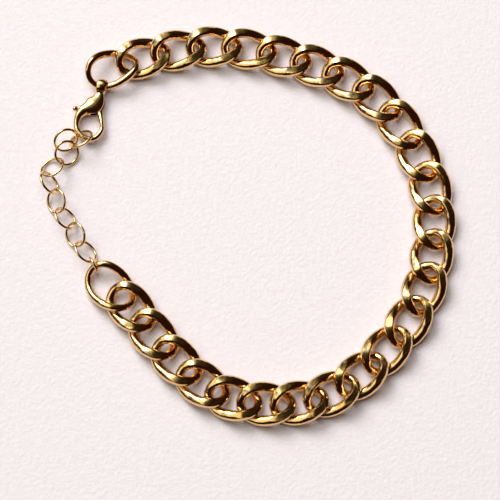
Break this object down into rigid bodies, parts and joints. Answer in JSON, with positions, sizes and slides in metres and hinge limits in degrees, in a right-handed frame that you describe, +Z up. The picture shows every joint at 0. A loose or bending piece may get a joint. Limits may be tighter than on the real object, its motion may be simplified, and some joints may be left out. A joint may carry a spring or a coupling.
{
  "type": "chain bracelet",
  "caption": "Heavy twisted curb chain bracelet in polished gold finish, closed by a lobster clasp hooked into a thin ring extender chain.",
  "frame": {"origin": "bottom centre of the bracelet's bounding box, on the surface it lies on, inside the loop", "axes": "+Z up out of the surface and through the wrist opening, +Y to the back, the clasp and extender at -X"},
  "size_m": [0.0808, 0.081, 0.0045],
  "materials": {
    "link_gold": "polished gold plating",
    "clasp_gold": "polished gold plating",
    "ring_gold": "polished gold plating"
  },
  "bodies": {
    "bracelet": {"curb_link_01": "link_gold", "curb_link_02": "link_gold", "curb_link_03": "link_gold", "curb_link_04": "link_gold", "curb_link_05": "link_gold", "curb_link_06": "link_gold", "curb_link_07": "link_gold", "curb_link_08": "link_gold", "curb_link_09": "link_gold", "curb_link_10": "link_gold", "curb_link_11": "link_gold", "curb_link_12": "link_gold", "curb_link_13": "link_gold", "curb_link_14": "link_gold", "curb_link_15": "link_gold", "curb_link_16": "link_gold", "curb_link_17": "link_gold", "curb_link_18": "link_gold", "curb_link_19": "link_gold", "curb_link_20": "link_gold", "curb_link_21": "link_gold", "curb_link_22": "link_gold", "curb_link_23": "link_gold", "curb_link_24": "link_gold", "curb_link_25": "link_gold", "curb_link_26": "link_gold", "curb_link_27": "link_gold", "clasp_body": "clasp_gold", "clasp_pin": "clasp_gold", "connector_ring": "ring_gold", "extender_ring_1": "ring_gold", "extender_ring_2": "ring_gold", "extender_ring_3": "ring_gold", "extender_ring_4": "ring_gold", "extender_ring_5": "ring_gold", "extender_ring_6": "ring_gold", "extender_ring_7": "ring_gold", "extender_ring_8": "ring_gold", "extender_ring_9": "ring_gold"},
    "lever": {"clasp_lever": "clasp_gold"}
  },
  "joints": [
    {"name": "lever_hinge", "type": "hinge", "parent": "bracelet", "child": "lever", "pos_m": [-0.02982, 0.02402, 0.00133], "axis": [0, 0, -1], "range_deg": [0, 22], "stiffness_Nm_per_rad": 0.0001, "springref_deg": -17.19}
  ]
}
